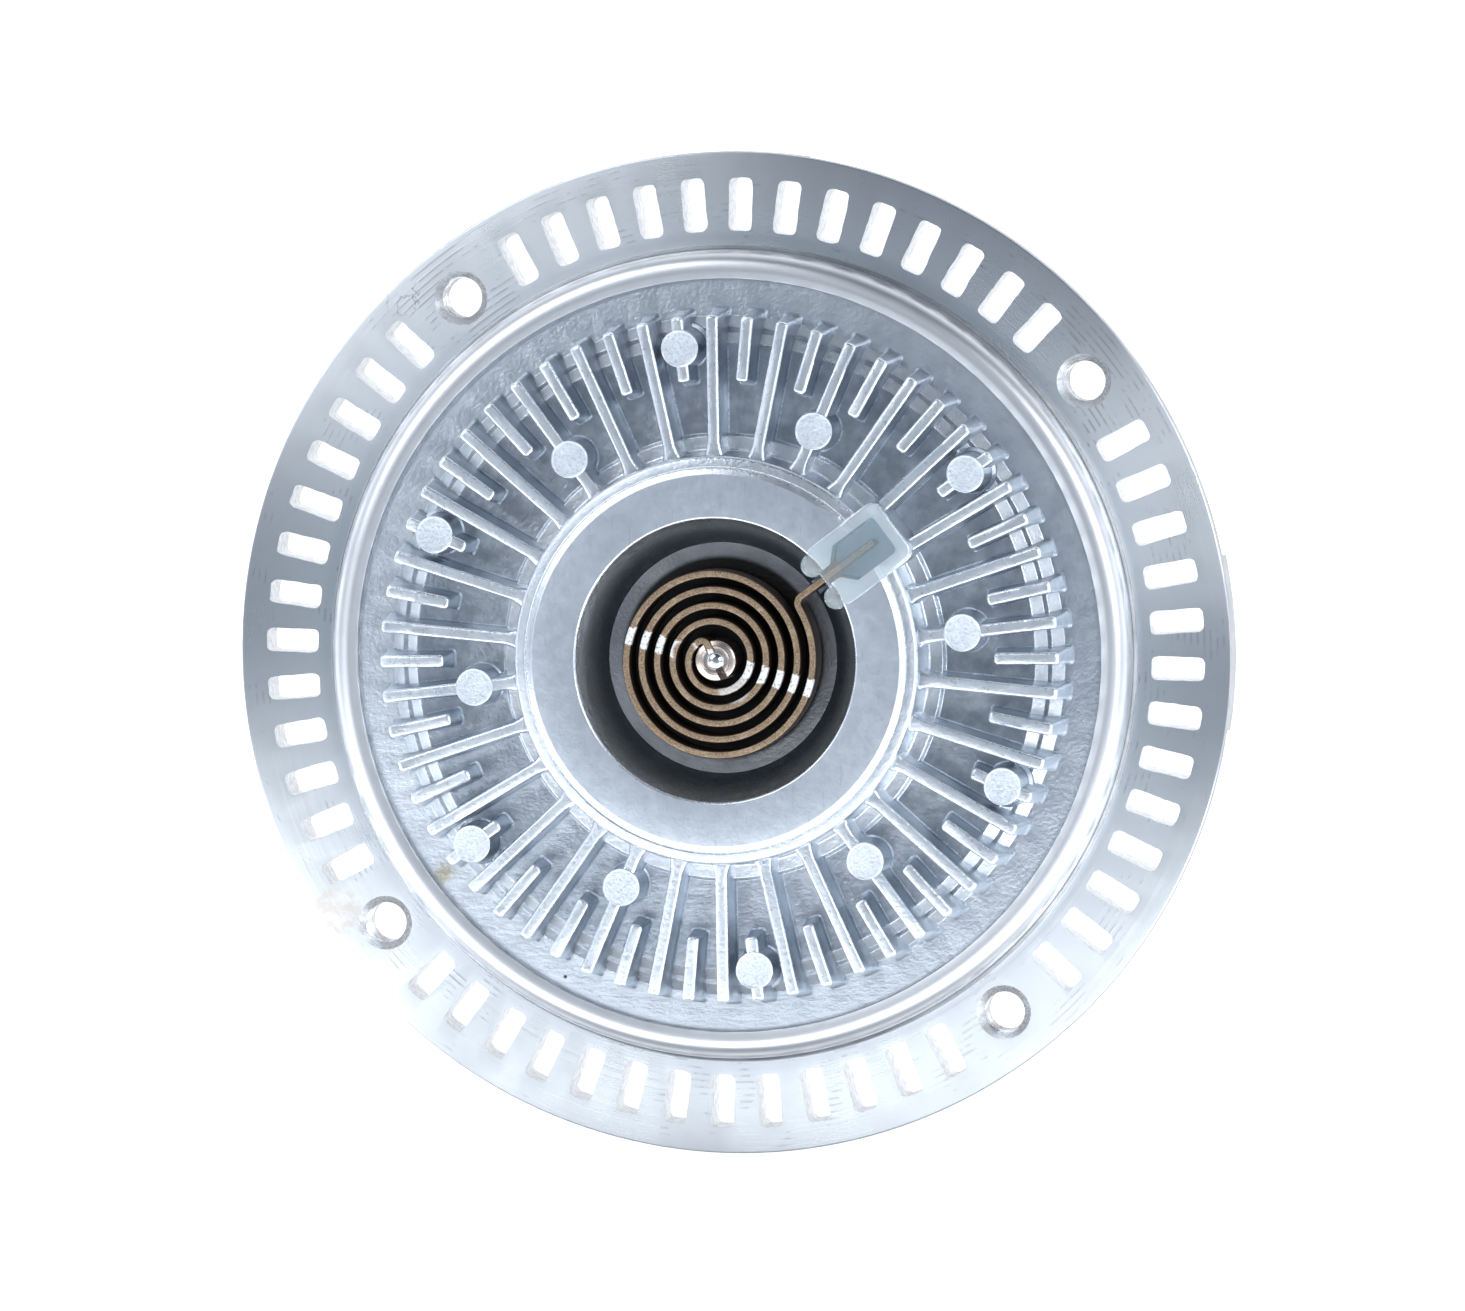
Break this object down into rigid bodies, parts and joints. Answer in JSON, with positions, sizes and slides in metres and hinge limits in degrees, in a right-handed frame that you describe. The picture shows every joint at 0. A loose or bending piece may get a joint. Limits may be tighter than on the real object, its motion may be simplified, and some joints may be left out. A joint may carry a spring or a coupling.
{
  "type": "viscous fan clutch",
  "caption": "Round viscous fan clutch: slotted fan flange round a finned cast cover with a bimetal coil valve, turning on a sealed ball bearing on a short input hub.",
  "frame": {"origin": "on the clutch axis, in the plane of the input hub's seat, on which the part stands", "axes": "+Z along the clutch axis from the input hub to the finned front; +X to the right and +Y up as the front is seen in the picture"},
  "size_m": [0.17, 0.17, 0.0628],
  "materials": {
    "housing_aluminium": "die cast, with a turned flange face and a burnished rolled lip",
    "cover_aluminium": "die cast",
    "rotor_aluminium": "turned casting",
    "bimetal": "rolled strip, dull brown, with a white paint stripe",
    "resin": "clear, poured",
    "shaft_steel": "turned",
    "sheet_steel": "zinc plated sheet",
    "bearing_steel": "ground",
    "seal_rubber": "moulded",
    "scoop_plastic": "moulded"
  },
  "bodies": {
    "drive": {"input_shaft": "shaft_steel", "rotor": "rotor_aluminium", "bearing_inner_ring": "bearing_steel"},
    "driven": {"housing": "housing_aluminium", "front_cover": "cover_aluminium", "cover_seal": "seal_rubber", "bimetal_coil": "bimetal", "coil_resin": "resin", "separator_plate": "sheet_steel", "fluid_scoop": "scoop_plastic", "bearing_outer_ring": "bearing_steel", "bearing_front_seal": "seal_rubber", "bearing_rear_seal": "seal_rubber", "bearing_circlip": "shaft_steel"},
    "ball_set": {"bearing_balls": "bearing_steel", "bearing_cage_front": "sheet_steel", "bearing_cage_rear": "sheet_steel", "bearing_cage_rivets": "sheet_steel"},
    "valve": {"valve_shaft": "shaft_steel", "valve_shaft_seal": "seal_rubber", "valve_arm": "sheet_steel"}
  },
  "joints": [
    {"name": "housing_spin", "type": "hinge", "parent": "drive", "child": "driven", "pos_m": [0, 0, 0.018], "axis": [0, 0, 1], "continuous": true},
    {"name": "ball_spin", "type": "hinge", "parent": "drive", "child": "ball_set", "pos_m": [0, 0, 0.018], "axis": [0, 0, 1], "continuous": true},
    {"name": "valve_turn", "type": "hinge", "parent": "driven", "child": "valve", "pos_m": [0, 0, 0.05], "axis": [0, 0, 1], "range_deg": [0, 30], "stiffness_Nm_per_rad": 0.4, "deforming": ["bimetal_coil"]}
  ],
  "couplings": [
    {"joint": "ball_spin", "follows": "housing_spin", "ratio": 0.6184}
  ]
}
